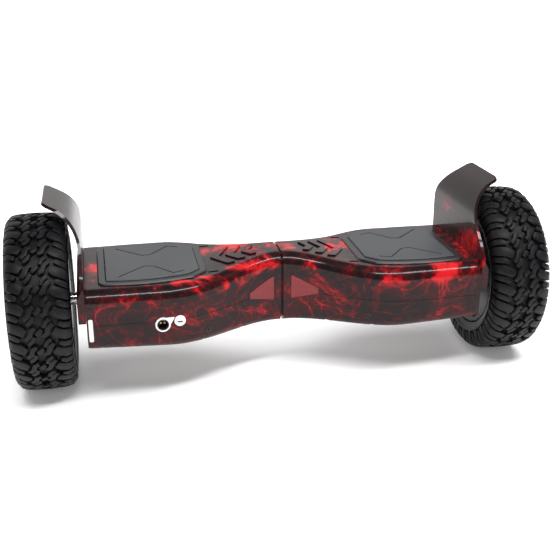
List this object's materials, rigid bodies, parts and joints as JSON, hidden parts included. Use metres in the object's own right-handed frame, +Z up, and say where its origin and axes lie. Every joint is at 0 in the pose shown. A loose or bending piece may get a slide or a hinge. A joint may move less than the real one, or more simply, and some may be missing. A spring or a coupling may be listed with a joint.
{
  "type": "self balancing hoverboard",
  "caption": "Two-wheeled self-balancing board: twisting halves on a centre pivot, sprung foot pads, hub-motor wheels, fenders, lights, charge socket and power button.",
  "frame": {"origin": "on the ground under the joint between the two halves", "axes": "+X from the left wheel to the right wheel, -Y the side with the charge port, +Z up"},
  "size_m": [0.662, 0.216, 0.2383],
  "materials": {
    "printed_shell": "clear-coated film print, gloss",
    "zinc_steel": "zinc plated",
    "cast_aluminium": "as cast",
    "pad_frame_plastic": "satin",
    "mat_rubber": "matt",
    "black_plastic": "moulded",
    "circuit_board": "solder mask",
    "red_lens": "moulded lens",
    "clear_lens": "moulded lens",
    "black_steel": "black oxide",
    "tyre_rubber": "moulded",
    "black_alloy": "black powder coat",
    "magnet": "nickel",
    "bearing_steel": "ground",
    "winding_copper": "enamelled",
    "white_plastic": "moulded",
    "pin_brass": "plated",
    "battery_wrap": "heat-shrink wrap"
  },
  "bodies": {
    "left_half": {"left_upper_shell": "printed_shell", "left_lower_shell": "printed_shell", "left_body_screws": "black_steel", "left_chassis": "cast_aluminium", "left_axle_clamp": "cast_aluminium", "left_pad_frame": "pad_frame_plastic", "left_pad_tray": "black_plastic", "left_sensor_board": "circuit_board", "left_tail_lens": "red_lens", "left_head_lens": "clear_lens", "left_light_boards": "circuit_board", "left_fender": "printed_shell", "left_axle": "bearing_steel", "left_motor_stator": "winding_copper", "pivot_tube": "bearing_steel", "pivot_circlip": "bearing_steel", "twist_stop_pin": "bearing_steel", "charge_socket": "white_plastic", "charge_pins": "pin_brass", "button_ring": "white_plastic", "blank_label": "white_plastic", "battery_pack": "battery_wrap", "battery_straps": "zinc_steel"},
    "right_half": {"right_upper_shell": "printed_shell", "right_lower_shell": "printed_shell", "right_body_screws": "black_steel", "right_chassis": "cast_aluminium", "right_axle_clamp": "cast_aluminium", "right_pad_frame": "pad_frame_plastic", "right_pad_tray": "black_plastic", "right_sensor_board": "circuit_board", "right_tail_lens": "red_lens", "right_head_lens": "clear_lens", "right_light_boards": "circuit_board", "right_fender": "printed_shell", "right_axle": "bearing_steel", "right_motor_stator": "winding_copper", "pivot_bearings": "bearing_steel", "main_board": "circuit_board"},
    "left_wheel": {"left_tyre": "tyre_rubber", "left_rim": "black_alloy", "left_magnet_ring": "magnet", "left_inner_motor_cover": "black_alloy", "left_outer_motor_cover": "black_alloy", "left_hub_cap": "black_plastic", "left_wheel_bearings": "bearing_steel", "left_cover_screws": "black_steel"},
    "right_wheel": {"right_tyre": "tyre_rubber", "right_rim": "black_alloy", "right_magnet_ring": "magnet", "right_inner_motor_cover": "black_alloy", "right_outer_motor_cover": "black_alloy", "right_hub_cap": "black_plastic", "right_wheel_bearings": "bearing_steel", "right_cover_screws": "black_steel"},
    "left_pad": {"left_foot_mat": "mat_rubber", "left_pad_plate": "black_plastic"},
    "right_pad": {"right_foot_mat": "mat_rubber", "right_pad_plate": "black_plastic"},
    "power_button": {"power_button": "white_plastic"}
  },
  "joints": [
    {"name": "center_pivot", "type": "hinge", "parent": "left_half", "child": "right_half", "pos_m": [0, 0, 0.108], "axis": [1, 0, 0], "range_deg": [-12, 12]},
    {"name": "left_wheel_spin", "type": "hinge", "parent": "left_half", "child": "left_wheel", "pos_m": [-0.293, 0, 0.108], "axis": [1, 0, 0], "continuous": true},
    {"name": "right_wheel_spin", "type": "hinge", "parent": "right_half", "child": "right_wheel", "pos_m": [0.293, 0, 0.108], "axis": [1, 0, 0], "continuous": true},
    {"name": "left_pad_press", "type": "slide", "parent": "left_half", "child": "left_pad", "axis": [0, 0, -1], "range_m": [0, 0.0015], "stiffness_N_per_m": 6000, "springref_m": -0.002},
    {"name": "right_pad_press", "type": "slide", "parent": "right_half", "child": "right_pad", "axis": [0, 0, -1], "range_m": [0, 0.0015], "stiffness_N_per_m": 6000, "springref_m": -0.002},
    {"name": "power_button_press", "type": "slide", "parent": "left_half", "child": "power_button", "axis": [0, 1, 0], "range_m": [0, 0.0012], "stiffness_N_per_m": 600, "springref_m": -0.002}
  ]
}
